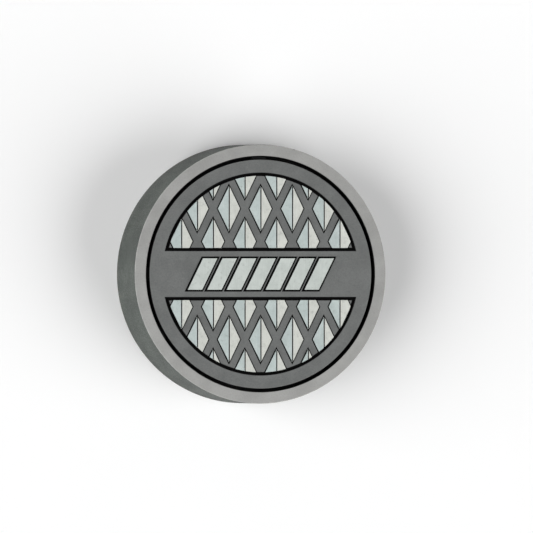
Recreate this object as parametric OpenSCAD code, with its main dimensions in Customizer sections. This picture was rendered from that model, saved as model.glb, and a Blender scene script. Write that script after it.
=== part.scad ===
// Round vented manhole cover in a deep cast frame, with a dirt pan hung in the frame below it.
// The base of the frame stands on z = 0 and the cover's axis is the Z axis.

/* [Frame] */
// Height from the base to the rim's edge at the cover
frame_h = 210; // [204:1:240]
// Width of the rim round the cover, seen from above
rim_w = 33.5; // [28:0.5:45]
// How far the rim falls from the cover to its outer edge
rim_drop = 2; // [0:1:24]
// Diameter of the clear opening that a person climbs through
clear_d = 600; // [570:2:640]
// Thickness of the ledge that carries the cover
ledge_t = 20; // [14:1:26]
// Thickness of the frame's round wall
wall_t = 18; // [12:1:24]
// Thickness of the base flange, which turns inwards
flange_t = 16; // [10:1:24]
// How far the base flange stays back from the clear opening
flange_setback = 2; // [1:0.5:8]
// Thickness of the upright ribs between the flange and the ledge
gusset_t = 12; // [8:1:16]
// Number of upright ribs, a multiple of four
gusset_n = 12; // [8, 12, 16]
// Number of anchor holes in the base flange
anchor_n = 6; // [3:1:8]
// Diameter of an anchor hole
anchor_d = 18; // [12:1:22]

/* [Cover] */
// Width of the seat, from the clear opening to the cover's edge
seat_w = 25; // [18:1:36]
// Gap between the cover's edge and the frame
cover_gap = 9; // [7:0.5:12]
// Depth of the cover's edge, from the seat to the top
cover_depth = 50; // [44:1:56]
// Width of the cover's rim, outside the panel pockets
cover_rim_w = 38; // [34:0.5:44]
// Width of the band between the two panel pockets
band_w = 131.4; // [122:0.2:140]
// Thickness of the casting under the panels
floor_t = 12; // [8:1:16]
// Depth of the ribs under the casting
rib_depth = 32; // [16:1:34]
// Thickness of the ribs under the casting
rib_t = 12; // [8:1:14]
// Play between the cover's centring lugs and the frame
lug_play = 1.5; // [1:0.1:3]
// Width of a lifting-hook pocket in the cover's edge
hook_w = 40; // [30:1:50]
// Depth of a lifting-hook pocket, from the edge inwards
hook_depth = 20; // [14:1:24]
// Height of a lifting-hook pocket
hook_h = 22; // [12:1:24]
// Metal above a lifting-hook pocket
hook_roof = 16; // [10:1:18]
// Width of a centring lug on the cover's edge
edge_lug_w = 40; // [20:1:60]
// Height of a centring lug
edge_lug_h = 18; // [8:1:20]

/* [Seat cushion] */
// Thickness of the rubber cushion that the cover sits on
cushion_t = 5; // [3:0.5:8]
// Thickness of the cushion's upright lip
lip_t = 3; // [2:0.5:4]
// Height of the cushion's lip above its seat
lip_h = 10; // [4:1:11]

/* [Tread panels] */
// Thickness of a tread panel
panel_t = 20; // [16:1:22]
// Width of the joint between a panel and its pocket
joint_w = 8.3; // [5:0.1:10]
// How deep the joint's filling and the beddings lie below the top
joint_recess = 3; // [1:0.5:4]
// Distance between studs side by side
stud_pitch = 92.7; // [88:0.1:96]
// Distance between rows of studs
row_pitch = 92.7; // [88:0.1:96]
// Width of a lattice bar, measured across the panel
bar_w = 21; // [18:0.5:28]

/* [Studs and blocks] */
// Width of the bedding round a stud, measured across the panel
bedding_w = 3.5; // [2:0.1:5]
// Thickness of the bedding under a stud or block
bedding_t = 2; // [1:0.5:3]
// Height of a stud or block below the cover's top
stud_t = 10; // [7:0.5:11]
// How far a stud's ridge or a block stands above the cover's top
stud_rise = 4; // [2:0.5:6]
// How far a stud falls from its ridge to its side corners
stud_fall = 3; // [1:0.5:4]
// Width of the vent slot along a stud's ridge
slot_w = 3.2; // [2:0.2:5]
// Metal left between the end of a slot and the stud's tip
slot_end = 12; // [8:1:18]
// Number of slanted tread blocks on the band
block_n = 7; // [3:1:7]
// Width of a tread block, measured across the cover
block_w = 42; // [30:1:46]
// Length of a tread block from its lower to its upper edge
block_h = 89; // [70:1:96]
// Distance between tread blocks
block_pitch = 56.9; // [55:0.1:60]
// Width of the bedding round a block, measured across the cover
block_bedding_w = 4.8; // [2:0.1:5.5]

/* [Fasteners] */
// Thread diameter of the panel bolts
bolt_d = 12; // [8:1:12]
// Thread diameter of the block screws
screw_d = 8; // [5:0.5:9]
// Metal left above the end of a panel bolt
bolt_cover = 8; // [5:1:10]
// Metal left above the end of a block screw
screw_cover = 6; // [4:0.5:8]
// Thickness of the washers
washer_t = 2.5; // [1.5:0.5:4]

/* [Dirt pan] */
// Clearance between the pan's rim and the clear opening
pan_clearance = 4; // [2:0.5:8]
// Thickness of the pan's sheet
pan_t = 3; // [2:0.5:4]
// Width of the pan's flat rim
pan_rim_w = 26; // [20:1:32]
// Height of the pan's turned-up lip
pan_lip_h = 6; // [4:1:8]
// Height of the pan's floor above the frame's base
pan_floor_z = 30; // [22:1:44]
// How far the pan's wall leans in from top to floor
pan_draft = 14; // [6:1:24]
// Distance between the cover's ledge and the pan's rim
pan_drop = 4; // [1:0.5:8]
// How far the pan's lugs reach into the clear opening
lug_reach = 16; // [12:1:20]
// Width of a pan lug
lug_w = 24; // [16:1:40]
// Height of a pan lug
lug_h = 20; // [12:1:40]
// Number of air slots round the pan's wall
air_slot_n = 12; // [6:1:16]
// Width of an air slot
air_slot_w = 40; // [20:1:60]
// Height of an air slot
air_slot_h = 12; // [6:1:16]
// Distance from the pan's rim down to the air slots
air_slot_drop = 12; // [6:1:30]
// Diameter of the handle's bar
handle_d = 10; // [8:0.5:12]
// Width of the handle, between the middles of its legs
handle_w = 110; // [90:1:150]
// Length of the handle from its pivot
handle_l = 80; // [60:1:90]
// Clearance of the handle's pins in their bores
pin_play = 0.08; // [0.02:0.01:0.1]
// Radius of the handle's bends
bend_r = 16; // [12:1:24]
// Width of a handle bracket's foot, along the pin
bracket_w = 26; // [20:1:40]
// Length of a handle bracket
bracket_l = 34; // [28:1:50]
// Thickness of a handle bracket's ear
bracket_t = 4; // [3:0.5:6]

/* [Hidden] */
$fn = 96;
eps = 0.5;

// Radii of the cover and the frame
clear_r = clear_d / 2;
cover_r = clear_r + seat_w;
opening_r = cover_r + cover_gap;
outer_r = opening_r + rim_w;
wall_r = outer_r - wall_t;
flange_r = clear_r + flange_setback;
anchor_r = (flange_r + wall_r) / 2;

// Heights, from the top down
top_z = frame_h;
cover_seat_z = top_z - cover_depth;
seat_z = cover_seat_z - cushion_t;
ledge_z = seat_z - ledge_t;
floor_top_z = top_z - panel_t;
floor_z = floor_top_z - floor_t;
rib_z = floor_z - rib_depth;
joint_z = top_z - joint_recess;
stud_z = top_z - stud_t;
bed_z = stud_z - bedding_t;

// Rib ring under the cover's rim
rib_ring_play = 4;
rib_ring_r = clear_r - rib_ring_play;
rib_ring_in = rib_ring_r - rib_t;

// Panels: a pocket and a panel are each the part of a disc above a straight edge
pocket_r = cover_r - cover_rim_w;
pocket_y = band_w / 2;
panel_r = pocket_r - joint_w;
panel_y = pocket_y + joint_w;

// Lattice: diamonds whose sides rise one row for each half pitch
slope = row_pitch / (stud_pitch / 2);
cell_x = (stud_pitch - bar_w) / 2;
stud_x = cell_x - bedding_w;
rows = ceil(panel_r / row_pitch);
columns = ceil(2 * panel_r / stud_pitch);
slot_inset = 9;
slot_min = 15;
slot_relief = 1;
bolt_crossings = [[-4, 1], [0, 1], [4, 1], [-1, 2], [1, 2]];

// Tread blocks: parallelograms with the lattice's slope
block_bedding_n = block_bedding_w * sin(atan(slope));
block_screw_y = block_h * 0.31;
rib_y = pocket_y - rib_t / 2;

// Fasteners
fit = 0.1;
bolt_head_h = bolt_d * 0.62;
bolt_head_r = bolt_d * 0.91;
bolt_grip = panel_t - bolt_cover;
bolt_washer_r = bolt_d;
screw_head_h = screw_d * 0.6;
screw_head_r = screw_d * 0.8;
screw_washer_r = screw_d;
hole_play = 1;
block_grip = stud_t + stud_rise - screw_cover;
hole_end = 1;

// Lugs on the cover's edge
edge_lug_root = 4;
edge_lug_z = cover_seat_z + lip_h + edge_lug_root;
hook_z = top_z - hook_roof - hook_h;

// Dirt pan
pan_r = clear_r - pan_clearance;
pan_wall_r = pan_r - pan_rim_w;
pan_rim_z = ledge_z - pan_drop;
lug_root = 8;
pan_floor_r = pan_wall_r - pan_draft;
pan_floor_top = pan_floor_z + pan_t;
air_slot_z = pan_rim_z - air_slot_drop - air_slot_h;

// Handle on the pan's floor
pivot_z = pan_floor_top + pan_t + handle_d / 2 + 1;
ear_gap = 3;
ear_x = handle_w / 2 + handle_d / 2 + ear_gap;
rivet_r = 2.5;
rivet_head_r = 5;
rivet_head_h = 2;
rivet_y = bracket_l / 2 - rivet_head_r - 1;

// Two-dimensional outlines

module diamond(half_x) {
    polygon([[-half_x, 0], [0, -half_x * slope], [half_x, 0], [0, half_x * slope]]);
}

module slanted_bar(w, h) {
    lean = h / 2 / slope;
    polygon([
        [-w / 2 - lean, -h / 2], [w / 2 - lean, -h / 2],
        [w / 2 + lean, h / 2], [-w / 2 + lean, h / 2]
    ]);
}

// Helpers in three dimensions

// A tube from z to z + h
module tube(r_out, r_in, z, h) {
    translate([0, 0, z]) difference() {
        cylinder(r = r_out, h = h);
        translate([0, 0, -eps]) cylinder(r = r_in, h = h + 2 * eps);
    }
}

// The part of a disc that lies above a straight edge, from z to z + h
module segment(r, edge_y, z, h) {
    intersection() {
        translate([0, 0, z]) cylinder(r = r, h = h);
        translate([-r - eps, edge_y, z - eps]) cube([2 * (r + eps), r, h + 2 * eps]);
    }
}

// Its children at both panels
module both_sides() {
    children();
    mirror([0, 1, 0]) children();
}

// True for the places that hold a stud: every other half pitch, with the lower tip well inside the panel
function is_cell(i, j) =
    (i + j) % 2 == 0 && norm([i * stud_pitch / 2, j * row_pitch - stud_x * slope]) < panel_r - stud_x / 2;

// Its children at each stud of the upper panel
module at_studs() {
    for (j = [1 : rows], i = [-columns : columns])
        if (is_cell(i, j)) translate([i * stud_pitch / 2, j * row_pitch, 0]) children();
}

// Its children at each panel bolt, where two lattice bars cross
module at_bolts() {
    both_sides()
        for (c = bolt_crossings) translate([c[0] * stud_pitch / 2, c[1] * row_pitch, 0]) children();
}

// Its children at each tread block
module at_blocks() {
    for (k = [0 : block_n - 1]) translate([(k - (block_n - 1) / 2) * block_pitch, 0, 0]) children();
}

// Its children at the two screws of each tread block
module at_block_screws() {
    at_blocks()
        for (s = [-1, 1]) translate([s * block_screw_y / slope, s * block_screw_y, 0]) children();
}

// Its children at the two handle brackets
module at_brackets() {
    children();
    mirror([1, 0, 0]) children();
}

// A vent slot at one place of the lattice, clipped clear of the panel's edges
module slot(i, j, w, z, h) {
    x = i * stud_pitch / 2;
    reach = stud_x * slope - slot_end;
    inner_r = panel_r - slot_inset;
    low_y = max(j * row_pitch - reach, panel_y + slot_inset);
    high_y = min(j * row_pitch + reach, sqrt(max(0, inner_r * inner_r - x * x)));
    if (high_y - low_y > slot_min)
        translate([x - w / 2, low_y, z]) cube([w, high_y - low_y, h]);
}

// All vent slots of the upper panel
module slots(w, z, h) {
    for (j = [1 : rows], i = [-columns : columns])
        if (is_cell(i, j)) slot(i, j, w, z, h);
}

// Frame

module frame_casting() {
    color([0.45, 0.46, 0.45]) difference() {
        union() {
            rotate_extrude() polygon([
                [flange_r, 0], [outer_r, 0], [outer_r, frame_h - rim_drop], [opening_r, frame_h],
                [opening_r, seat_z], [clear_r, seat_z], [clear_r, ledge_z], [wall_r, ledge_z],
                [wall_r, flange_t], [flange_r, flange_t]
            ]);
            for (k = [0 : gusset_n - 1]) rotate(k * 360 / gusset_n)
                translate([flange_r, -gusset_t / 2, flange_t - eps])
                    cube([wall_r - flange_r + wall_t / 4, gusset_t, ledge_z - flange_t + 2 * eps]);
            for (k = [0 : 3]) rotate(k * 90)
                translate([clear_r - lug_reach, -lug_w / 2, pan_rim_z - lug_h])
                    cube([lug_reach + lug_root, lug_w, lug_h]);
        }
        for (k = [0 : anchor_n - 1]) rotate(180 / gusset_n + k * 360 / anchor_n)
            translate([anchor_r, 0, -eps]) cylinder(d = anchor_d, h = flange_t + 2 * eps);
    }
}

module seat_cushion() {
    outside = opening_r - 0.5;
    color([0.06, 0.06, 0.06]) rotate_extrude() polygon([
        [clear_r + 1, seat_z], [outside, seat_z], [outside, cover_seat_z + lip_h],
        [outside - lip_t, cover_seat_z + lip_h], [outside - lip_t, cover_seat_z], [clear_r + 1, cover_seat_z]
    ]);
}

// Cover

module cover_casting() {
    color([0.44, 0.45, 0.44]) difference() {
        union() {
            translate([0, 0, floor_z]) cylinder(r = cover_r, h = top_z - floor_z);
            tube(cover_r, rib_ring_in, cover_seat_z, floor_z - cover_seat_z + eps);
            tube(rib_ring_r, rib_ring_in, rib_z, floor_z - rib_z + eps);
            cover_ribs();
            for (k = [0 : 2]) rotate(90 + k * 120)
                intersection() {
                    tube(opening_r - lug_play, cover_r - edge_lug_root, edge_lug_z, edge_lug_h);
                    translate([0, -edge_lug_w / 2, edge_lug_z]) cube([opening_r, edge_lug_w, edge_lug_h]);
                }
        }
        both_sides() {
            segment(pocket_r, pocket_y, floor_top_z, panel_t + eps);
            slots(slot_w + 3 * slot_relief, floor_z - eps, floor_t + 2 * eps);
        }
        at_bolts() translate([0, 0, floor_z - eps]) cylinder(r = bolt_d / 2 + hole_play, h = floor_t + 2 * eps);
        at_blocks() translate([0, 0, bed_z]) linear_extrude(stud_t + bedding_t + eps)
            slanted_bar(block_w + 2 * block_bedding_w, block_h + 2 * block_bedding_n);
        at_block_screws() translate([0, 0, floor_z - eps])
            cylinder(r = screw_d / 2 + hole_play, h = bed_z - floor_z + 2 * eps);
        for (a = [0, 180]) rotate(a)
            translate([cover_r - hook_depth, -hook_w / 2, hook_z]) cube([hook_depth + eps, hook_w, hook_h]);
    }
}

// Ribs under the cover: two beams along the band, and cross ribs between the columns of vent slots
module cover_ribs() {
    intersection() {
        translate([0, 0, rib_z]) cylinder(r = rib_ring_in + eps, h = rib_depth + eps);
        both_sides() union() {
            translate([-cover_r, rib_y - rib_t / 2, rib_z]) cube([2 * cover_r, rib_t, rib_depth + eps]);
            for (c = [-3.5, -1.5, 1.5, 3.5])
                translate([c * stud_pitch / 2 - rib_t / 2, rib_y, rib_z])
                    cube([rib_t, cover_r, rib_depth + eps]);
        }
    }
}

// The upper panel: a lattice of bars round blind diamond seats
module tread_panel() {
    color([0.44, 0.45, 0.44]) difference() {
        segment(panel_r, panel_y, floor_top_z, panel_t);
        at_studs() translate([0, 0, bed_z]) linear_extrude(stud_t + bedding_t + eps) diamond(cell_x);
        slots(slot_w + 2 * slot_relief, floor_top_z - eps, panel_t);
        for (c = bolt_crossings) translate([c[0] * stud_pitch / 2, c[1] * row_pitch, floor_top_z - eps])
            cylinder(r = bolt_d / 2 + fit, h = bolt_grip + hole_end + eps);
    }
}

module panel_seal() {
    color([0.03, 0.03, 0.03]) difference() {
        segment(pocket_r, pocket_y, floor_top_z, joint_z - floor_top_z);
        segment(panel_r, panel_y, floor_top_z - eps, joint_z - floor_top_z + 2 * eps);
    }
}

// The studs of the upper panel: diamonds with a ridge along their long diagonal, cut off at the panel's edge
module studs() {
    ridge_z = top_z + stud_rise;
    color([0.76, 0.78, 0.77]) difference() {
        intersection() {
            at_studs() intersection() {
                translate([0, 0, stud_z]) linear_extrude(stud_t + stud_rise + eps) diamond(stud_x);
                translate([0, row_pitch, 0]) rotate([90, 0, 0]) linear_extrude(2 * row_pitch) polygon([
                    [-stud_x, stud_z], [stud_x, stud_z], [stud_x, ridge_z - stud_fall],
                    [0, ridge_z], [-stud_x, ridge_z - stud_fall]
                ]);
            }
            segment(panel_r, panel_y, stud_z - eps, stud_t + stud_rise + 2 * eps);
        }
        slots(slot_w, stud_z - eps, stud_t + stud_rise + 2 * eps);
        at_studs() translate([-slot_w / 2, -row_pitch, top_z - joint_recess])
            cube([slot_w, 2 * row_pitch, stud_rise + joint_recess + eps]);
    }
}

// The bedding of the upper panel's studs: a floor under each stud and a wall round it
module stud_bedding() {
    color([0.02, 0.02, 0.02]) difference() {
        intersection() {
            at_studs() translate([0, 0, bed_z]) linear_extrude(joint_z - bed_z) diamond(cell_x);
            segment(panel_r, panel_y, bed_z - eps, joint_z - bed_z + 2 * eps);
        }
        at_studs() translate([0, 0, stud_z]) linear_extrude(stud_t) diamond(stud_x);
        slots(slot_w, bed_z - eps, bedding_t + 2 * eps);
    }
}

module upper_tread_panel() { tread_panel(); }
module lower_tread_panel() { mirror([0, 1, 0]) tread_panel(); }
module upper_panel_seal() { panel_seal(); }
module lower_panel_seal() { mirror([0, 1, 0]) panel_seal(); }
module upper_studs() { studs(); }
module lower_studs() { mirror([0, 1, 0]) studs(); }
module upper_stud_bedding() { stud_bedding(); }
module lower_stud_bedding() { mirror([0, 1, 0]) stud_bedding(); }

module band_blocks() {
    color([0.76, 0.78, 0.77]) difference() {
        at_blocks() translate([0, 0, stud_z]) linear_extrude(stud_t + stud_rise) slanted_bar(block_w, block_h);
        at_block_screws() translate([0, 0, stud_z - eps])
            cylinder(r = screw_d / 2 + fit, h = block_grip + hole_end + eps);
    }
}

module band_block_bedding() {
    color([0.02, 0.02, 0.02]) difference() {
        at_blocks() translate([0, 0, bed_z]) linear_extrude(joint_z - bed_z)
            slanted_bar(block_w + 2 * block_bedding_w, block_h + 2 * block_bedding_n);
        at_blocks() translate([0, 0, stud_z]) linear_extrude(stud_t) slanted_bar(block_w, block_h);
        at_block_screws() translate([0, 0, bed_z - eps])
            cylinder(r = screw_d / 2 + fit, h = bedding_t + 2 * eps);
    }
}

// Fasteners, all driven from below

module panel_bolts() {
    head_z = floor_z - washer_t - bolt_head_h;
    color([0.62, 0.63, 0.64]) at_bolts() translate([0, 0, head_z]) {
        cylinder(r = bolt_head_r, h = bolt_head_h, $fn = 6);
        cylinder(d = bolt_d, h = bolt_head_h + washer_t + floor_t + bolt_grip);
    }
}

module panel_washers() {
    color([0.66, 0.67, 0.68]) at_bolts() tube(bolt_washer_r, bolt_d / 2 + fit, floor_z - washer_t, washer_t);
}

module block_screws() {
    head_z = floor_z - washer_t - screw_head_h;
    color([0.62, 0.63, 0.64]) at_block_screws() translate([0, 0, head_z]) difference() {
        union() {
            cylinder(r = screw_head_r, h = screw_head_h);
            cylinder(d = screw_d, h = stud_z + block_grip - head_z);
        }
        translate([0, 0, -eps]) cylinder(r = screw_d * 0.42, h = screw_head_h * 0.6 + eps, $fn = 6);
    }
}

module block_washers() {
    color([0.66, 0.67, 0.68]) at_block_screws()
        tube(screw_washer_r, screw_d / 2 + fit, floor_z - washer_t, washer_t);
}

// Dirt pan

module dirt_pan() {
    color([0.6, 0.62, 0.63]) difference() {
        rotate_extrude() polygon([
            [0, pan_floor_z], [pan_floor_r, pan_floor_z], [pan_wall_r, pan_rim_z], [pan_r, pan_rim_z],
            [pan_r, pan_rim_z + pan_t + pan_lip_h], [pan_r - pan_t, pan_rim_z + pan_t + pan_lip_h],
            [pan_r - pan_t, pan_rim_z + pan_t], [pan_wall_r - pan_t, pan_rim_z + pan_t],
            [pan_floor_r - pan_t, pan_floor_top], [0, pan_floor_top]
        ]);
        for (k = [0 : air_slot_n - 1]) rotate((k + 0.5) * 360 / air_slot_n)
            translate([pan_floor_r - pan_t, -air_slot_w / 2, air_slot_z]) cube([pan_r, air_slot_w, air_slot_h]);
        at_rivets() translate([0, 0, pan_floor_z - eps]) cylinder(r = rivet_r + fit, h = pan_t + 2 * eps);
    }
}

// Its children at the four rivets of the handle brackets
module at_rivets() {
    at_brackets()
        for (s = [-1, 1]) translate([ear_x + bracket_w / 2, s * rivet_y, 0]) children();
}

// Angle brackets: a foot riveted to the pan's floor and an ear with the pin's bore
module handle_brackets() {
    ear_top = pivot_z + handle_d / 2 + bracket_t;
    color([0.6, 0.62, 0.63]) at_brackets() difference() {
        union() {
            translate([ear_x, -bracket_l / 2, pan_floor_top]) cube([bracket_w, bracket_l, pan_t]);
            translate([ear_x, -bracket_l / 2, pan_floor_top])
                cube([bracket_t, bracket_l, pivot_z - pan_floor_top]);
            translate([ear_x, 0, pivot_z]) rotate([0, 90, 0]) cylinder(r = ear_top - pivot_z, h = bracket_t);
        }
        translate([ear_x - eps, 0, pivot_z]) rotate([0, 90, 0])
            cylinder(r = handle_d / 2 + pin_play, h = bracket_t + 2 * eps);
        for (s = [-1, 1]) translate([ear_x + bracket_w / 2, s * rivet_y, pan_floor_top - eps])
            cylinder(r = rivet_r + fit, h = pan_t + 2 * eps);
    }
}

module bracket_rivets() {
    stack = 2 * pan_t;
    color([0.66, 0.67, 0.68]) at_rivets() {
        translate([0, 0, pan_floor_z - rivet_head_h / 2]) cylinder(r = rivet_r, h = stack + rivet_head_h);
        translate([0, 0, pan_floor_z + stack]) cylinder(r = rivet_head_r, h = rivet_head_h);
        translate([0, 0, pan_floor_z - rivet_head_h]) cylinder(r = rivet_head_r, h = rivet_head_h);
    }
}

// A bar bent to a U, lying flat, with its ends turned out through the brackets' ears
module pan_handle() {
    leg_x = handle_w / 2;
    bar_r = handle_d / 2;
    pin_l = ear_gap + bar_r + bracket_t + 3;
    color([0.6, 0.62, 0.63]) translate([0, 0, pivot_z]) {
        at_brackets() {
            translate([leg_x, 0, 0]) rotate([0, 90, 0]) cylinder(r = bar_r, h = pin_l);
            translate([leg_x, 0, 0]) sphere(r = bar_r);
            translate([leg_x, 0, 0]) rotate([-90, 0, 0]) cylinder(r = bar_r, h = handle_l - bend_r);
            translate([leg_x - bend_r, handle_l - bend_r, 0]) rotate_extrude(angle = 90)
                translate([bend_r, 0]) circle(r = bar_r);
        }
        translate([-leg_x + bend_r, handle_l, 0]) rotate([0, 90, 0])
            cylinder(r = bar_r, h = handle_w - 2 * bend_r);
    }
}

frame_casting();
seat_cushion();
cover_casting();
upper_tread_panel();
lower_tread_panel();
upper_panel_seal();
lower_panel_seal();
upper_studs();
lower_studs();
upper_stud_bedding();
lower_stud_bedding();
band_blocks();
band_block_bedding();
panel_bolts();
panel_washers();
block_screws();
block_washers();
dirt_pan();
handle_brackets();
bracket_rivets();
pan_handle();
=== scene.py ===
# %% [markdown]
# # A vented manhole cover in its frame
# The cover is a dark iron disc with two lattice panels. Bright ridged studs sit in the lattice, and a row
# of slanted steel blocks crosses the band between the panels. The disc lies in a deep round frame, and
# black joints separate every piece from the next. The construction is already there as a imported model, in
# metres, with the frame standing on z = 0. This lesson gives each piece its real edges and its finish, and
# then sets up the picture.

import math

import bmesh
import bpy
import numpy as np
from mathutils import Matrix, Vector


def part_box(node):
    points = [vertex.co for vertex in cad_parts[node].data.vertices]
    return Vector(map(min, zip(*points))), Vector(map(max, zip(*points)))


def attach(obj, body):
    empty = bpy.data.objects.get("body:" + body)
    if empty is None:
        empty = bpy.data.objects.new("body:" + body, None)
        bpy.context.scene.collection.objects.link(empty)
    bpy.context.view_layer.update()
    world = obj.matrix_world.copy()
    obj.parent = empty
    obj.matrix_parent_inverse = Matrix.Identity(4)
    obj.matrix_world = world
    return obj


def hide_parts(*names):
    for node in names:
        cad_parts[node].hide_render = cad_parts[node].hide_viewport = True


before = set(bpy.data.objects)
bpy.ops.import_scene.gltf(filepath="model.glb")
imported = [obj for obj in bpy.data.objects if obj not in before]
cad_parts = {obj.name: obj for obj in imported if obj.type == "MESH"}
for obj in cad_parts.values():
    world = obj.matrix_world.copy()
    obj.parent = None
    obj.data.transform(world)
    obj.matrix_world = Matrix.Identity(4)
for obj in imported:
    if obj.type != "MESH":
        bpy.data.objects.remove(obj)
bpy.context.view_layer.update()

# %% [markdown]
# ## Sizes
# Nothing is measured twice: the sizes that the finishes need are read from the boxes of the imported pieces.
# The cover's radius is half the width of its casting, and the height of the tread is the top of the lattice
# panels. Three small ones lie inside a piece, where no box shows them, and are written here: how far down
# the frame's bright rim reaches, how thick the cover's plate is under its pockets, and how loosely the
# cushion lies in the frame.

# %% Read the sizes that the later cells share
RIM_DEPTH = 0.03
PLATE_T = 0.012
CUSHION_PLAY = 0.0005

frame_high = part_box("frame_casting")[1]
cover_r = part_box("cover_casting")[1][0]
panel_low, panel_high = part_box("upper_tread_panel")
seal_low, seal_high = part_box("upper_panel_seal")
cushion_low, cushion_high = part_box("seat_cushion")

opening_r = cushion_high[0] + CUSHION_PLAY
pocket_r, pocket_y = seal_high[1], seal_low[1]
panel_r, panel_y = panel_high[1], panel_low[1]
top_z = panel_high[2]
rim_low = frame_high[2] - RIM_DEPTH
gap_foot = cushion_low[2]
plate_low = seal_low[2] - PLATE_T
print(f"frame radius {frame_high[0]:.4f}, cover {cover_r:.4f}, opening {opening_r:.4f}, top at {top_z:.4f}")
print(f"pocket radius {pocket_r:.4f} above y = {pocket_y:.4f}, panel {panel_r:.4f} above y = {panel_y:.4f}")

# %% [markdown]
# The row of slanted blocks can't be read from a box, so it is read from its corners. At the blocks' upper
# ends the corners come in pairs, left and right, so every second corner lies one pitch further on. The
# middle of the row has moved sideways there, and that gives its slant.

# %% Read the row of slanted blocks
LEVEL = 1e-4


def corners(node):
    """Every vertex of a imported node, as an array of x, y, z."""
    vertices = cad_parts[node].data.vertices
    flat = np.empty(len(vertices) * 3)
    vertices.foreach_get("co", flat)
    return flat.reshape(-1, 3)


def upper_ends(node):
    """The y of a node's upper ends, and the x of every corner that lies there, from left to right.

    Corners within LEVEL of each other count as level."""
    places = corners(node)
    end_y = places[:, 1].max()
    return end_y, np.unique(places[places[:, 1] > end_y - LEVEL, 0].round(5))


block_y, block_ends = upper_ends("band_blocks")
bedding_y, bedding_ends = upper_ends("band_block_bedding")
block_pitch = block_ends[2] - block_ends[0]
outer_block = len(block_ends) // 4
block_slant = block_ends.mean() / block_y
bedding_half = bedding_ends[-1] - bedding_y * block_slant - outer_block * block_pitch
print(f"block pitch {block_pitch:.4f}, {outer_block} on each side of the middle one, slant {block_slant:.3f}")

# %% [markdown]
# ## Edges
# A casting has no knife edges: the mould rounds them and traffic wears them further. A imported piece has
# sharp edges, so a copy of it is welded, its flat triangles are merged into whole faces, and its sharp
# edges are rounded. A Bevel modifier could do it too, but here each edge picks its own radius by where it
# lies, and the finished faces can then be asked which way they look.

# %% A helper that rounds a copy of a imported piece
SHARP = math.radians(28)
FLAT = math.radians(0.3)


def rounded_copy(node, radii):
    """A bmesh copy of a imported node, with its flat faces merged and its sharp edges rounded.

    Faces merge where they turn by less than FLAT, and edges are rounded where they turn by more than SHARP.
    radii is a list of (test, radius): test takes the middle of an edge, and the first one that is true
    decides. The rounded faces get the attribute worn = 1."""
    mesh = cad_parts[node].data
    shape = bmesh.new()
    shape.from_mesh(mesh)
    worn = shape.faces.layers.float.new("worn")
    bmesh.ops.remove_doubles(shape, verts=shape.verts, dist=1e-6)
    bmesh.ops.dissolve_limit(shape, angle_limit=FLAT, verts=shape.verts, edges=shape.edges)
    for place, (test, radius) in enumerate(radii):
        earlier = [t for t, _ in radii[:place]]
        chosen = []
        for edge in shape.edges:
            if len(edge.link_faces) != 2 or edge.calc_face_angle(0) < SHARP or edge.tag:
                continue
            middle = (edge.verts[0].co + edge.verts[1].co) / 2
            if test(middle) and not any(t(middle) for t in earlier):
                chosen.append(edge)
        if chosen:
            made = bmesh.ops.bevel(shape, geom=chosen, offset=radius, segments=3, profile=0.5,
                                   affect="EDGES", clamp_overlap=True)
            for face in made["faces"]:
                face[worn] = 1.0
                for edge in face.edges:
                    edge.tag = True
    return shape


def anywhere(middle):
    """True for every edge."""
    return True


# %% [markdown]
# ## Marks on the mesh
# The finishes need to know two things about a place: does it look up, which keeps the top colour there and
# paints shade on the walls and sides, and to which side does it lean, which tells a stud's left facet,
# painted in shade, from its right one, painted in light. Both come from the face's normal n, as up =
# max(n_z, 0) and lean = n_x, and are stored with the mesh, so that they travel with it when the cover moves.

# %% Helpers that finish a mesh as an object
def mark_faces(mesh):
    """Stores up = max(n_z, 0) and lean = n_x of each face in its corners, as whole arrays."""
    normals = np.empty(len(mesh.polygons) * 3, dtype=np.float32)
    mesh.polygons.foreach_get("normal", normals)
    totals = np.empty(len(mesh.polygons), dtype=np.int32)
    mesh.polygons.foreach_get("loop_total", totals)
    normals = normals.reshape(-1, 3)
    for name, values in (("up", np.maximum(normals[:, 2], 0)), ("lean", normals[:, 0])):
        layer = mesh.attributes.new(name, "FLOAT", "CORNER")
        layer.data.foreach_set("value", np.repeat(values, totals).astype(np.float32))


def finish_piece(name, mesh, body, material, nodes, smooth=32):
    """Makes an object of a mesh, shades it, gives it its finish and lets it ride on its body."""
    mark_faces(mesh)
    mesh.shade_smooth()
    mesh.set_sharp_from_angle(angle=math.radians(smooth))
    mesh.materials.clear()
    mesh.materials.append(material)
    piece = bpy.data.objects.new(name, mesh)
    bpy.context.scene.collection.objects.link(piece)
    even = piece.modifiers.new("even_shading", "WEIGHTED_NORMAL")
    even.keep_sharp = True
    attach(piece, body)
    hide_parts(*nodes)
    print(f"{name}: {len(mesh.polygons)} faces")


def dress(node, body, material, radii):
    """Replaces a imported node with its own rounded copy."""
    mesh = bpy.data.meshes.new(node + "_rounded")
    shape = rounded_copy(node, radii)
    shape.to_mesh(mesh)
    shape.free()
    finish_piece(node + "_rounded", mesh, body, material, [node])


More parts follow.
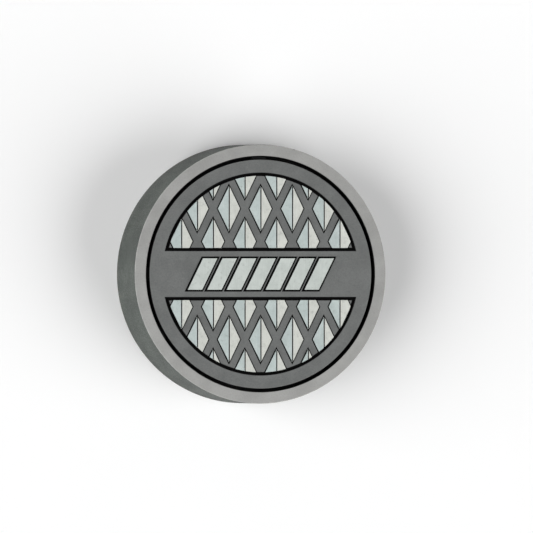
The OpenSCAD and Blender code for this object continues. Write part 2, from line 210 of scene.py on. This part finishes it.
def grid_mesh(name, points, ring=True):
    """A mesh from an array of points, rows by columns by 3.

    Quads join neighbours. Each row is a closed loop, and with ring the last row joins the first one too. A
    row that lies in one point becomes a pole."""
    rows, columns = points.shape[:2]
    index = np.arange(rows * columns).reshape(rows, columns)
    below = np.roll(index, -1, axis=0) if ring else index[1:]
    here = index if ring else index[:-1]
    quads = np.stack([here, below, np.roll(below, -1, axis=1), np.roll(here, -1, axis=1)], axis=-1)
    mesh = bpy.data.meshes.new(name)
    mesh.from_pydata(points.reshape(-1, 3).tolist(), [], quads.reshape(-1, 4).tolist())
    mesh.validate()
    shape = bmesh.new()
    shape.from_mesh(mesh)
    bmesh.ops.remove_doubles(shape, verts=shape.verts, dist=1e-7)
    bmesh.ops.recalc_face_normals(shape, faces=shape.faces)
    shape.to_mesh(mesh)
    shape.free()
    return mesh


# %% [markdown]
# ## Building a finish from nodes
# Every finish here starts from the same small set of parts: a noise that varies with the place on the
# piece, a ramp that turns it into a share, and a mix of two colours by that share. Short helpers keep each
# recipe readable.

# %% A helper for colours
def linear(r, g, b):
    """A colour as a screen shows it, 0 to 255, turned into the linear light that Blender works in.

    With s = value / 255, the light is s / 12.92 at the dark end and ((s + 0.055) / 1.055) ** 2.4 elsewhere."""
    screen = np.array([r, g, b]) / 255
    light = np.where(screen <= 0.04045, screen / 12.92, ((screen + 0.055) / 1.055) ** 2.4)
    return (*light.tolist(), 1.0)


# %% The parts of a recipe
class Recipe:
    """A material in the making: it keeps the node tree, the shader and the Object coordinates."""

    def __init__(self, name):
        self.material = bpy.data.materials.new(name)
        self.material.use_nodes = True
        self.tree = self.material.node_tree
        self.shader = self.tree.nodes["Principled BSDF"]
        self.place = self.tree.nodes.new("ShaderNodeTexCoord").outputs["Object"]

    def link(self, source, target):
        """Joins an output to an input."""
        self.tree.links.new(source, target)

    def put(self, value, socket):
        """Links a node's output to a socket, or writes a plain number or colour on it."""
        if isinstance(value, bpy.types.NodeSocket):
            self.link(value, socket)
        else:
            socket.default_value = value

    def noise(self, scale, detail=3, rough=0.55, stretch=None):
        """A cloudy noise from 0 to 1, scale waves to the metre. stretch packs it closer along an axis."""
        node = self.tree.nodes.new("ShaderNodeTexNoise")
        node.inputs["Scale"].default_value = scale
        node.inputs["Detail"].default_value = detail
        node.inputs["Roughness"].default_value = rough
        place = self.place
        if stretch:
            turn = self.tree.nodes.new("ShaderNodeMapping")
            turn.inputs["Scale"].default_value = stretch
            self.link(place, turn.inputs["Vector"])
            place = turn.outputs["Vector"]
        self.link(place, node.inputs["Vector"])
        return node.outputs["Fac"]

    def cells(self, scale, output="Distance"):
        """Cells, scale of them to the metre: the distance from a cell's middle, or the cell's own colour."""
        node = self.tree.nodes.new("ShaderNodeTexVoronoi")
        node.inputs["Scale"].default_value = scale
        self.link(self.place, node.inputs["Vector"])
        return node.outputs[output]

    def attribute(self, name):
        """A value stored with the mesh."""
        node = self.tree.nodes.new("ShaderNodeAttribute")
        node.attribute_name = name
        return node.outputs["Fac"]

    def span(self, value, low, high, to_low=0.0, to_high=1.0):
        """The value's way from low to high, eased and held at both ends, as to_low to to_high."""
        node = self.tree.nodes.new("ShaderNodeMapRange")
        node.interpolation_type = "SMOOTHSTEP"
        self.put(value, node.inputs["Value"])
        ends = {"From Min": low, "From Max": high, "To Min": to_low, "To Max": to_high}
        for socket, number in ends.items():
            node.inputs[socket].default_value = number
        return node.outputs["Result"]

    def math(self, kind, a, b=0.0):
        """One step of arithmetic."""
        node = self.tree.nodes.new("ShaderNodeMath")
        node.operation = kind
        self.put(a, node.inputs[0])
        self.put(b, node.inputs[1])
        return node.outputs["Value"]

    def mix(self, share, first, second):
        """The first colour where share is 0, the second where it is 1."""
        node = self.tree.nodes.new("ShaderNodeMix")
        node.data_type = "RGBA"
        self.put(share, node.inputs["Factor"])
        self.put(first, node.inputs["A"])
        self.put(second, node.inputs["B"])
        return node.outputs["Result"]

    def axis(self, name):
        """The place's own X, Y or Z, in metres."""
        split = self.tree.nodes.new("ShaderNodeSeparateXYZ")
        self.link(self.place, split.inputs["Vector"])
        return split.outputs[name]

    def radius(self):
        """The distance from the cover's axis, in metres."""
        x, y = self.axis("X"), self.axis("Y")
        return self.math("SQRT", self.math("ADD", self.math("MULTIPLY", x, x), self.math("MULTIPLY", y, y)))

    def past_segments(self, radius, edge_y):
        """How far a place lies outside the two segments of a disc, and less than 0 inside them.

        It is the greater of r - radius and edge_y - |y|."""
        past_arc = self.math("SUBTRACT", self.radius(), radius)
        past_line = self.math("SUBTRACT", edge_y, self.math("ABSOLUTE", self.axis("Y")))
        return self.math("MAXIMUM", past_arc, past_line)

    def past_blocks(self):
        """How far a place lies outside the bedding of the nearest slanted block, in metres.

        Slanted blocks stand upright in u = x - slant y. The distance from u to the nearest multiple of the
        pitch, up to the outermost block, gives how far the place lies past a side, and |y| how far it lies
        past an end."""
        y = self.axis("Y")
        u = self.math("SUBTRACT", self.axis("X"), self.math("MULTIPLY", y, block_slant))
        nearest = self.math("ROUND", self.math("DIVIDE", u, block_pitch))
        nearest = self.math("MINIMUM", self.math("MAXIMUM", nearest, -outer_block), outer_block)
        middle = self.math("MULTIPLY", nearest, block_pitch)
        across = self.math("ABSOLUTE", self.math("SUBTRACT", u, middle))
        past_side = self.math("SUBTRACT", across, bedding_half)
        past_end = self.math("SUBTRACT", self.math("ABSOLUTE", y), bedding_y)
        return self.math("MAXIMUM", past_side, past_end)

    def bump(self, *layers):
        """Bumps from (height, depth in metres) layers, one laid over the next."""
        before = None
        for height, depth in layers:
            node = self.tree.nodes.new("ShaderNodeBump")
            node.inputs["Strength"].default_value = 1.0
            node.inputs["Distance"].default_value = depth
            self.link(height, node.inputs["Height"])
            if before:
                self.link(before, node.inputs["Normal"])
            before = node.outputs["Normal"]
        self.link(before, self.shader.inputs["Normal"])

    def done(self, colour, roughness, metallic, specular=0.5):
        """Connects the colour and the roughness, and writes how metallic and how shiny the finish is."""
        self.put(colour, self.shader.inputs["Base Color"])
        self.put(roughness, self.shader.inputs["Roughness"])
        self.shader.inputs["Metallic"].default_value = metallic
        self.shader.inputs["Specular IOR Level"].default_value = specular
        return self.material


# %% [markdown]
# ## Cast iron
# Sand leaves a skin of fine grains on iron, with a pit here and there, and broad clouds where the skin is
# thicker. Where shoes and tyres pass, the high grains and the rounded edges are polished and look a little
# lighter. The walls of the gap are painted almost black, which is painted shade, and that is what makes the
# gap round the cover read as a line. The cover's other walls above its plate are painted near black too,
# painted shade, and the frame's side is painted much darker than its rim, painted shade for the side. Where
# a joint was poured, the compound was smeared about a millimetre over both edges and fades out within half
# a millimetre, which makes the black outlines even. Both castings share the sand, so it is a helper of its
# own.

# %% The sand on both castings
# This near black serves both the painted shade in the gap and the smeared compound.
GAP_SHADE_AND_TAR = linear(10, 10, 10)
SMEAR = 0.0009
FEATHER = 0.0004


def sand_skin(r):
    """The grains of the mould, coarse and fine, and its pits, each from 0 to 1."""
    coarse = r.noise(230, detail=6, rough=0.62)
    fine = r.noise(900, detail=4)
    pits = r.span(r.cells(300), 0.0, 0.28)
    return coarse, fine, pits


def polish(r, colour, fine, share, bright):
    """The colour with its high grains polished, and most of its rounded edges too."""
    patchy = r.span(r.noise(60, detail=5), 0.38, 0.62, 0.15, 0.75)
    edges = r.math("MULTIPLY", r.attribute("worn"), patchy)
    grains = r.span(fine, 0.48, 0.76, 0.0, share)
    return r.mix(r.math("MAXIMUM", edges, grains), colour, bright)


# %% The finish of the frame
def frame_iron():
    """Light on the rim, dark green-grey with streaks of rain on the side, black in the gap.

    The side's dark tone and the black in the gap are painted shade.
    """
    r = Recipe("frame_iron")
    coarse, fine, pits = sand_skin(r)
    cloud = r.noise(14, detail=5)
    streak = r.noise(26, detail=6, rough=0.6, stretch=(1, 1, 0.12))
    up = r.span(r.attribute("up"), 0.25, 0.7)
    rim = r.mix(r.span(cloud, 0.3, 0.7), linear(149, 149, 147), linear(160, 160, 158))
    rim = r.mix(r.span(coarse, 0.42, 0.7, 0.0, 0.3), rim, linear(138, 138, 135))
    rim = polish(r, rim, fine, 0.3, linear(178, 178, 175))
    # The side's dark green-grey is painted shade for the side that stands away from the light; the rain
    # streaks, the dust at the foot and the polish on it are real marks.
    side = r.mix(r.span(cloud, 0.3, 0.7), linear(66, 70, 67), linear(79, 84, 80))
    side = r.mix(r.span(streak, 0.48, 0.72, 0.0, 0.45), side, linear(92, 96, 92))
    side = r.mix(r.span(coarse, 0.45, 0.7, 0.0, 0.3), side, linear(57, 61, 58))
    foot = r.math("MULTIPLY", r.span(r.axis("Z"), 0.035, 0.0), r.span(streak, 0.35, 0.6))
    side = r.mix(r.math("MULTIPLY", foot, 0.3), side, linear(100, 101, 94))
    side = polish(r, side, fine, 0.3, linear(100, 104, 100))
    # The frame's inner wall at the gap is painted almost black from below the seat up: painted shade in the
    # gap.
    inside = r.span(r.radius(), opening_r + 0.0020, opening_r + 0.0012)
    colour = r.mix(r.math("MULTIPLY", up, r.span(r.axis("Z"), rim_low, rim_low + 0.001)), side, rim)
    frame_gap_shade = r.math("MULTIPLY", inside, r.span(r.axis("Z"), gap_foot - 0.02, gap_foot))
    colour = r.mix(frame_gap_shade, colour, GAP_SHADE_AND_TAR)
    r.bump((cloud, 0.0006), (coarse, 0.0006), (pits, 0.0003), (fine, 0.0003))
    return r.done(colour, r.span(coarse, 0.3, 0.7, 0.5, 0.74), 0.06, specular=0.15)


# %% The finish of the cover and its panels
def cover_iron():
    """Grey where it looks up, darker below, and black on the walls and under the smeared compound.

    The black on the walls above the plate is painted shade; the black at the joints is the compound's own
    smear.
    """
    r = Recipe("cover_iron")
    coarse, fine, pits = sand_skin(r)
    cloud = r.noise(18, detail=5)
    scuff = r.noise(60, detail=6, rough=0.7, stretch=(1, 3.5, 1))
    up = r.span(r.attribute("up"), 0.72, 0.95)
    skin = r.mix(r.span(cloud, 0.3, 0.7), linear(98, 100, 99), linear(108, 110, 109))
    skin = r.mix(r.span(scuff, 0.52, 0.72, 0.0, 0.4), skin, linear(122, 124, 123))
    skin = r.mix(r.span(coarse, 0.42, 0.7, 0.0, 0.35), skin, linear(88, 90, 89))
    skin = polish(r, skin, fine, 0.3, linear(132, 134, 132))
    under = r.mix(r.span(cloud, 0.3, 0.7), linear(46, 47, 46), linear(60, 61, 59))
    under = polish(r, under, fine, 0.25, linear(78, 79, 77))
    # Faces that don't look up are painted near black above the plate, painted shade on the walls of pockets,
    # slots and gap; below the plate they keep the darker iron of the underside.
    under_and_wall_shade = r.mix(r.span(r.axis("Z"), plate_low - 0.001, plate_low + 0.001), under, linear(18, 18, 18))
    colour = r.mix(up, under_and_wall_shade, skin)
    # The cover's own side near its top is painted black as well: painted shade in the gap.
    edge = r.math("MULTIPLY", r.span(r.radius(), cover_r - 0.0012, cover_r - 0.0006),
                  r.span(r.axis("Z"), plate_low - 0.03, plate_low - 0.01))
    colour = r.mix(edge, colour, GAP_SHADE_AND_TAR)
    fade = SMEAR + FEATHER
    on_panel = r.span(r.past_segments(panel_r, panel_y), -fade, -SMEAR)
    off_pocket = r.span(r.past_segments(pocket_r, pocket_y), fade, SMEAR)
    off_block = r.span(r.past_blocks(), fade, SMEAR)
    smear = r.math("MAXIMUM", r.math("MULTIPLY", on_panel, off_pocket), off_block)
    above_plate = r.span(r.axis("Z"), seal_low[2] - 0.0002, seal_low[2])
    colour = r.mix(r.math("MULTIPLY", smear, above_plate), colour, GAP_SHADE_AND_TAR)
    r.bump((cloud, 0.0005), (coarse, 0.0005), (pits, 0.00025), (fine, 0.0003))
    return r.done(colour, r.span(coarse, 0.3, 0.7, 0.46, 0.7), 0.15)


# %% [markdown]
# ## Worn steel
# The studs and the blocks carry the feet, so they are bright. Each stud was planed along its ridge, which
# leaves fine lines, and grit adds short scratches that run every way. Dirt stays in the low spots between
# them. The facet that leans to the left is painted cooler and a little darker, painted shade, and the one
# that leans to the right warmer and lighter, painted light. The walls are painted dark, painted shade where
# the pieces stand in their beddings.

# %% The finish of the studs and blocks
def stud_steel():
    """Cool on the left facets, warm on the right ones, scratched both ways, and dark on the walls.

    The cool, darker left facets are painted shade and the warm, lighter right ones painted light; the dark
    walls are painted shade.
    """
    r = Recipe("stud_steel")
    grain = r.noise(1300, detail=3)
    cloud = r.noise(30, detail=4)
    planed = r.noise(900, detail=3, stretch=(1, 0.03, 1))
    along = r.span(r.noise(190, detail=7, rough=0.78, stretch=(1, 14, 1)), 0.54, 0.7)
    across = r.span(r.noise(170, detail=7, rough=0.78, stretch=(12, 1, 1)), 0.56, 0.74)
    low_spot = r.span(r.noise(110, detail=6, rough=0.66), 0.52, 0.74)
    up = r.span(r.attribute("up"), 0.6, 0.92)
    # The two facets are two tones of one steel: painted shade on the left, painted light on the right.
    right = r.span(r.attribute("lean"), -0.03, 0.03)
    shaded_left_cool = r.mix(r.span(cloud, 0.3, 0.7), linear(177, 189, 187), linear(190, 201, 199))
    lit_right_warm = r.mix(r.span(cloud, 0.3, 0.7), linear(199, 201, 194), linear(210, 212, 205))
    steel = r.mix(right, shaded_left_cool, lit_right_warm)
    steel = r.mix(r.span(planed, 0.4, 0.6, 0.0, 0.14), steel, linear(150, 156, 154))
    steel = r.mix(r.math("MULTIPLY", low_spot, 0.4), steel, linear(140, 145, 141))
    steel = r.mix(r.math("MULTIPLY", along, 0.5), steel, linear(222, 226, 224))
    steel = r.mix(r.math("MULTIPLY", across, 0.4), steel, linear(152, 158, 155))
    steel = r.mix(r.math("MULTIPLY", r.attribute("worn"), 0.5), steel, linear(224, 227, 225))
    # Faces that don't look up are painted near black: painted shade on the walls.
    colour = r.mix(up, linear(24, 25, 25), steel)
    r.bump((cloud, 0.0003), (planed, 0.00015), (along, 0.00015), (across, 0.00012), (grain, 0.0001))
    return r.done(colour, r.span(low_spot, 0.0, 1.0, 0.44, 0.64), 0.12, specular=0.35)


# %% [markdown]
# ## Black compound and rubber
# The joints are poured with black compound, which dries matt and a little wrinkled. The cushion under the
# cover is moulded rubber, smoother and slightly shiny where the cover rubs it.

# %% The finishes of compound and rubber
def joint_compound():
    """Matt black with fine wrinkles."""
    r = Recipe("joint_compound")
    wrinkle = r.noise(260, detail=5)
    colour = r.mix(r.span(wrinkle, 0.4, 0.75), linear(2, 2, 2), linear(11, 11, 11))
    r.bump((wrinkle, 0.0006))
    return r.done(colour, r.span(wrinkle, 0.3, 0.7, 0.75, 0.95), 0.0, specular=0.08)


def cushion_rubber():
    """Black rubber with dust in soft patches, duller where the dust lies."""
    r = Recipe("cushion_rubber")
    grain = r.noise(700, detail=3)
    dust = r.noise(40, detail=5)
    colour = r.mix(r.span(dust, 0.45, 0.8), linear(16, 16, 16), linear(44, 43, 41))
    r.bump((grain, 0.0001))
    return r.done(colour, r.span(dust, 0.3, 0.8, 0.45, 0.8), 0.0)


# %% [markdown]
# ## Zinc
# The pan is dipped in molten zinc, which freezes in flat crystals of different greys. On the handle's bar
# they stay small, and hands keep them bright. The bolts are plated, which is thinner and more even, with a
# faint yellow haze.

# %% The finishes of galvanised sheet and plated fasteners
def galvanised(name, flakes, bright):
    """Zinc with so many flakes to the metre. bright lifts its colour, from 0 to 1."""
    r = Recipe(name)
    flake = r.cells(flakes, output="Color")
    shade = r.tree.nodes.new("ShaderNodeSeparateColor")
    r.link(flake, shade.inputs["Color"])
    haze = r.noise(9, detail=5)
    colour = r.mix(r.span(shade.outputs["Red"], 0.0, 1.0), linear(146, 151, 153), linear(178, 183, 185))
    colour = r.mix(r.span(haze, 0.5, 0.75, 0.0, 0.5), colour, linear(120, 117, 110))
    colour = r.mix(bright, colour, linear(205, 208, 208))
    r.bump((haze, 0.0008), (r.noise(500), 0.00005))
    return r.done(colour, r.span(shade.outputs["Green"], 0.0, 1.0, 0.3, 0.55), 0.75)


def zinc_plate():
    """Even pale zinc with a faint yellow haze."""
    r = Recipe("zinc_plate")
    haze = r.noise(120, detail=4)
    colour = r.mix(r.span(haze, 0.35, 0.7), linear(168, 170, 170), linear(190, 184, 160))
    r.bump((r.noise(1500), 0.00004))
    return r.done(colour, r.span(haze, 0.3, 0.7, 0.3, 0.5), 0.85)


# %% [markdown]
# Several pieces share a finish, so each one is made once and kept under a name. Making it again for every
# piece would look the same, but then a change to one iron piece would leave the others behind.

# %% Make the finishes once
finish_frame = frame_iron()
finish_cover = cover_iron()
finish_stud = stud_steel()
finish_joint = joint_compound()
finish_cushion = cushion_rubber()
finish_pan = galvanised("galvanised_sheet", flakes=75, bright=0.0)
finish_bar = galvanised("galvanised_bar", flakes=260, bright=0.45)
finish_zinc = zinc_plate()
print("finishes:", len(bpy.data.materials))

# %% [markdown]
# ## The frame
# One heavy casting: a round wall with an almost flat rim on top, a ledge for the cover, upright ribs and a
# flange. The edges near the top take more wear than the ribs inside, so they are rounder.

# %% Round the frame's edges
def on_rim(middle):
    """True near the top of the frame."""
    return middle.z > rim_low


dress("frame_casting", "frame", finish_frame, [(on_rim, 0.0018), (anywhere, 0.0012)])

# %% [markdown]
# ## The seat cushion
# A ring of rubber with three soft ribs that squash under the cover, and an upright lip that keeps grit off
# the seat. Its cross-section is a closed line of corners (r, z), carried round the axis: at the angle a, a
# corner goes to (r cos a, r sin a, z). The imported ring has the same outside, so its corners give the sizes.

# %% Turn the cushion's profile round the axis
def arc(middle_r, middle_z, radius, start, stop, steps=5):
    """Corners on an arc: the middle plus radius (cos a, sin a), with a from start to stop in degrees."""
    a = np.radians(np.linspace(start, stop, steps))
    return np.stack([middle_r + radius * np.cos(a), middle_z + radius * np.sin(a)], axis=-1)


def cushion_profile(ribs=3, rib_depth=0.0011, soft=0.0012):
    """Over the ribs, up and over the lip, down the outside and back along the ledge, as corners (r, z).

    Over the seat the height is seat - depth (1 - |sin(ribs pi u)|), with u from 0 at the inner edge to 1 at
    the lip."""
    ring = corners("seat_cushion")
    r, z = np.hypot(ring[:, 0], ring[:, 1]), ring[:, 2]
    inner, outer, low, top = r.min(), r.max(), z.min(), z.max()
    lip = r[z > top - LEVEL].min()
    seat = z[r < lip - LEVEL].max()
    u = np.linspace(0, 1, 12 * ribs + 1)
    over_r = inner + soft + u * (lip - inner - 2 * soft)
    over = np.stack([over_r, seat - rib_depth * (1 - np.abs(np.sin(ribs * np.pi * u)))], axis=-1)
    return np.concatenate([
        over,
        arc(lip - soft, seat + soft, soft, -60, 0),
        arc(lip + soft, top - soft, soft, 180, 90),
        arc(outer - soft, top - soft, soft, 90, 0),
        arc(outer - soft, low + soft, soft, 0, -90),
        arc(inner + soft, low + soft, soft, 270, 180),
    ])


def turned(profile, steps=192):
    """Every corner (r, z) of a closed profile, carried round the Z axis in even steps."""
    angle = np.linspace(0, 2 * np.pi, steps, endpoint=False)[:, None]
    r, z = profile[:, 0][None], profile[:, 1][None]
    return np.stack([r * np.cos(angle), r * np.sin(angle), z + 0 * angle], axis=-1)


cushion = grid_mesh("cushion_ring", turned(cushion_profile()))
finish_piece("cushion_ring", cushion, "frame", finish_cushion, ["seat_cushion"])

# %% [markdown]
# ## The cover
# The casting and the two lattice panels share one finish. The cover's outer edge is the roundest, and the
# edges of the lattice are crisp, because they were cast in a finer sand.

# %% Round the cover and its panels
def on_edge(middle):
    """True near the cover's outer edge."""
    return math.hypot(middle.x, middle.y) > cover_r - 0.004


dress("cover_casting", "cover", finish_cover, [(on_edge, 0.0016), (anywhere, 0.0007)])
for side in ("upper", "lower"):
    dress(side + "_tread_panel", "cover", finish_cover, [(anywhere, 0.0007)])

# %% [markdown]
# ## The studs and the blocks
# They are small pieces of harder steel, set into the cover where the feet go. The corners of the blocks
# wear most, so these are rounder than the ridges of the studs. A shader alone could fake rounded edges, but
# real faces belong to the shape itself.

# %% Round the studs and the blocks
for side in ("upper", "lower"):
    dress(side + "_studs", "cover", finish_stud, [(anywhere, 0.0007)])
dress("band_blocks", "cover", finish_stud, [(anywhere, 0.0016)])

# %% [markdown]
# ## The joint fillings
# Compound is poured into the joint round each panel, and it creeps up the iron on both sides as it sets. So
# its top is a shallow trough: across the joint, with u from 0 to 1, its height is z = low + rise (2u - 1)
# squared. The joint's two outlines have the same shape, an arc closed by a straight line, so a point of the
# filling is (1 - u) times the outer outline plus u times the inner one.

# %% Pour the fillings
RISE = 0.0012


def segment_outline(radius, edge_y, arc_steps=160, line_steps=60):
    """Points round the part of a disc above y = edge_y: first the arc, then the straight line back.

    The arc is radius (cos a, sin a), between the two angles a where radius sin a = edge_y."""
    start = math.asin(edge_y / radius)
    angle = np.linspace(start, np.pi - start, arc_steps, endpoint=False)
    arc = np.stack([radius * np.cos(angle), radius * np.sin(angle)], axis=-1)
    reach = radius * math.cos(start)
    x = np.linspace(-reach, reach, line_steps, endpoint=False)
    return np.concatenate([arc, np.stack([x, np.full_like(x, edge_y)], axis=-1)])


def joint_filling(sign):
    """The filling round one panel, as a loop of cross-sections. sign is 1 above the band, -1 below."""
    outer = segment_outline(pocket_r, pocket_y)
    inner = segment_outline(panel_r, panel_y)
    u = np.linspace(0, 1, 9)
    trough = seal_high[2] - RISE + RISE * (2 * u - 1) ** 2
    u = np.concatenate([u, [1, 0]])
    z = np.concatenate([trough, [seal_low[2], seal_low[2]]])
    flat = outer[:, None] * (1 - u)[None, :, None] + inner[:, None] * u[None, :, None]
    points = np.concatenate([flat, np.broadcast_to(z[None, :, None], (*flat.shape[:2], 1))], axis=-1)
    return points * np.array([1, sign, 1])


for side, sign in (("upper", 1), ("lower", -1)):
    filling = grid_mesh(side + "_joint_filling", joint_filling(sign))
    seal = side + "_panel_seal"
    finish_piece(side + "_joint_filling", filling, "cover", finish_joint, [seal])
    dress(side + "_stud_bedding", "cover", finish_joint, [(anywhere, 0.0003)])
dress("band_block_bedding", "cover", finish_joint, [(anywhere, 0.0003)])

# %% [markdown]
# ## Fasteners, pan and brackets
# Bolts, screws and washers hold the panels and the blocks from below, and the dirt pan hangs under them.
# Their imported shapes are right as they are, so they only get the small roundings that a forged head or a
# pressed sheet has. One loop serves all the fasteners, because they share a body and a finish.

# %% Dress the fasteners under the cover
for node in ("panel_bolts", "panel_washers", "block_screws", "block_washers"):
    dress(node, "cover", finish_zinc, [(anywhere, 0.0004)])

# %% Dress the pan and the handle's brackets
dress("dirt_pan", "dirt_pan", finish_pan, [(anywhere, 0.0006)])
dress("handle_brackets", "dirt_pan", finish_bar, [(anywhere, 0.0006)])
dress("bracket_rivets", "dirt_pan", finish_zinc, [(anywhere, 0.0007)])

# %% [markdown]
# ## The handle
# The handle is one bar, bent to a U, whose ends turn outwards into the brackets' ears. It is a circle
# carried along a path: at the path's point p with the direction t, the ring is p + r (cos a n + sin a z),
# where n is t turned by 90 degrees and z points up. A round bar needs even rings to shine evenly, which is
# why it isn't a rounded copy.

# %% Bend the bar
def bent(points, radii, steps=9):
    """A flat path with its corners replaced by arcs.

    At a corner the arc of radius r starts and ends r tan(turn / 2) away from it, and is drawn from its
    middle."""
    path = [points[:1]]
    for before, corner, after, radius in zip(points[:-2], points[1:-1], points[2:], radii):
        into = (corner - before) / np.linalg.norm(corner - before)
        out = (after - corner) / np.linalg.norm(after - corner)
        turn = np.arctan2(into[0] * out[1] - into[1] * out[0], into @ out)
        side = np.sign(turn) * np.array([-into[1], into[0]])
        middle = corner - into * radius * np.tan(abs(turn) / 2) + side * radius
        angle = np.linspace(0, turn, steps)[:, None]
        path.append(middle - radius * (side * np.cos(angle) - np.sign(turn) * into * np.sin(angle)))
    return np.concatenate([*path, points[-1:]])


def swept_bar(path, radius, height, soft, sides=24):
    """A round bar along a flat path at one height, with its ends rounded by soft and closed."""
    reach = np.diff(path, axis=0)
    reach = reach / np.linalg.norm(reach, axis=1)[:, None]
    along = np.concatenate([reach[:1], reach[:-1] + reach[1:], reach[-1:]])
    along = along / np.linalg.norm(along, axis=1)[:, None]
    ends = soft * np.array([0, 0, 0.3, 1.0])
    size = radius - soft * np.array([radius / soft, 1.0, 0.3, 0.0])
    first = path[0] + along[0] * ends[:, None]
    last = path[-1] - along[-1] * ends[::-1, None]
    middle = np.concatenate([first, path[1:-1], last])
    along = np.concatenate([np.repeat(along[:1], 4, axis=0), along[1:-1], np.repeat(along[-1:], 4, axis=0)])
    size = np.concatenate([size, np.full(len(path) - 2, radius), size[::-1]])
    a = np.linspace(0, 2 * np.pi, sides, endpoint=False)
    across = np.stack([-along[:, 1], along[:, 0]], axis=-1)
    flat = middle[:, None] + across[:, None] * (size[:, None] * np.cos(a))[..., None]
    z = height + size[:, None] * np.sin(a)
    return np.concatenate([flat, z[..., None]], axis=-1)


bar = corners("pan_handle")
bar_r = (bar[:, 2].max() - bar[:, 2].min()) / 2
pivot_z = bar[:, 2].max() - bar_r
pin_x, far_y = bar[:, 0].max(), bar[:, 1].max() - bar_r
leg_x = bar[bar[:, 1] > 4 * bar_r, 0].max() - bar_r
bar_line = np.array([[pin_x, 0], [leg_x, 0], [leg_x, far_y], [-leg_x, far_y], [-leg_x, 0], [-pin_x, 0]])
handle_path = bent(bar_line, radii=[1.2 * bar_r, 3.2 * bar_r, 3.2 * bar_r, 1.2 * bar_r])
handle = grid_mesh("bent_handle", swept_bar(handle_path, bar_r, pivot_z, soft=0.0008), ring=False)
finish_piece("bent_handle", handle, "pan_handle", finish_bar, ["pan_handle"], smooth=40)

# %% [markdown]
# ## The picture
# The floor is a plain white sheet, much larger than the view, so that no edge of it shows. It lies a hair
# below the frame, because two surfaces in exactly the same place would flicker.

# %% Floor
def flat_material(name, colour):
    """A matt sheet of one colour, with clouds so faint that they hardly show."""
    r = Recipe(name)
    fine = r.noise(3, detail=4)
    shade = r.mix(r.span(fine, 0.2, 0.8), colour, tuple(c * 0.995 for c in colour[:3]) + (1.0,))
    return r.done(shade, 0.9, 0.0)


reach, sink = 30.0, 0.0005
sheet = np.array([(-1, -1), (1, -1), (1, 1), (-1, 1)]) * reach
floor_mesh = bpy.data.meshes.new("floor")
floor_mesh.from_pydata([(x, y, -sink) for x, y in sheet.tolist()], [], [(0, 1, 2, 3)])
floor_mesh.materials.append(flat_material("floor_white", (0.94, 0.94, 0.94, 1.0)))
floor = bpy.data.objects.new("floor", floor_mesh)
bpy.context.scene.collection.objects.link(floor)
print(f"floor: {2 * reach:.0f} m wide, {sink} m below the frame")

# %% [markdown]
# The sky is dim overhead and white near the horizon, which keeps the background white in low views. Most of
# the light comes from two broad soft lamps. They stand low on the left and on the right, both a little
# towards the front, so a soft shadow lies on either side of the frame and hardly any in front of it. Area
# lamps would do the same for one view, but suns light every pose and every side alike.

# %% Sky and lamps
def studio_sky(overhead, horizon):
    """A white sky whose strength runs from horizon, low down, to overhead, from 20 degrees up."""
    sky = bpy.data.worlds.new("studio_sky")
    sky.use_nodes = True
    nodes, links = sky.node_tree.nodes, sky.node_tree.links
    split = nodes.new("ShaderNodeSeparateXYZ")
    links.new(nodes.new("ShaderNodeTexCoord").outputs["Generated"], split.inputs["Vector"])
    ramp = nodes.new("ShaderNodeMapRange")
    ramp.interpolation_type = "SMOOTHSTEP"
    links.new(split.outputs["Z"], ramp.inputs["Value"])
    ramp.inputs["From Max"].default_value = math.sin(math.radians(20))
    ramp.inputs["To Min"].default_value = horizon
    ramp.inputs["To Max"].default_value = overhead
    links.new(ramp.outputs["Result"], nodes["Background"].inputs["Strength"])
    nodes["Background"].inputs["Color"].default_value = (1.0, 1.0, 1.0, 1.0)
    return sky


bpy.context.scene.world = studio_sky(overhead=0.13, horizon=1.0)
print("sky:", bpy.context.scene.world.name)


def soft_lamp(name, azimuth, elevation, energy):
    """A broad soft sun. azimuth counts from +X towards +Y, elevation from the floor, in degrees."""
    lamp = bpy.data.lights.new(name, "SUN")
    lamp.energy = energy
    lamp.angle = math.radians(60)
    around, above = math.radians(azimuth), math.radians(elevation)
    level = math.cos(above)
    towards = Vector((level * math.cos(around), level * math.sin(around), math.sin(above)))
    holder = bpy.data.objects.new(name, lamp)
    bpy.context.scene.collection.objects.link(holder)
    holder.rotation_mode = "QUATERNION"
    holder.rotation_quaternion = towards.to_track_quat("Z", "Y")
    print(f"{name}: energy {energy}")


soft_lamp("left_softbox", azimuth=192, elevation=32, energy=3.05)
soft_lamp("right_softbox", azimuth=332, elevation=32, energy=2.35)

# %% [markdown]
# The camera stands far away behind a very long lens, which keeps the rim as wide on the left as on the
# right. It leans 14.5 degrees to the left, so that the dark side of the frame shows there. The Standard
# view shows each colour as it was written, where a film-like view would grey the whites.

# %% Camera
def aim_camera(lean, lens, picture_width, aim_right, aim_up):
    """A camera that leans left of straight down and aims a little right of and above the cover's middle.

    With the lean a, it looks along (sin a, 0, -cos a), its right is (cos a, 0, sin a) and its up is +Y. It
    stands at the distance where the picture is picture_width wide at the cover's top: width = distance x
    sensor / lens."""
    data = bpy.data.cameras.new("camera")
    data.lens = lens
    data.sensor_width = 36.0
    data.clip_start = 0.5
    data.clip_end = 100.0
    camera = bpy.data.objects.new("camera", data)
    bpy.context.scene.collection.objects.link(camera)
    right = Vector((math.cos(lean), 0, math.sin(lean)))
    up = Vector((0, 1, 0))
    back = right.cross(up)
    target = Vector((0, 0, top_z)) + right * aim_right + up * aim_up
    camera.location = target + back * (picture_width * lens / data.sensor_width)
    camera.rotation_mode = "QUATERNION"
    camera.rotation_quaternion = Matrix((right, up, back)).transposed().to_quaternion()
    bpy.context.scene.camera = camera
    print(f"camera: {camera.location.length:.1f} m away, lens {lens:.0f} mm")


aim_camera(lean=math.radians(14.5), lens=1200.0, picture_width=1.511, aim_right=0.0167, aim_up=0.0214)
bpy.context.scene.view_settings.view_transform = "Standard"
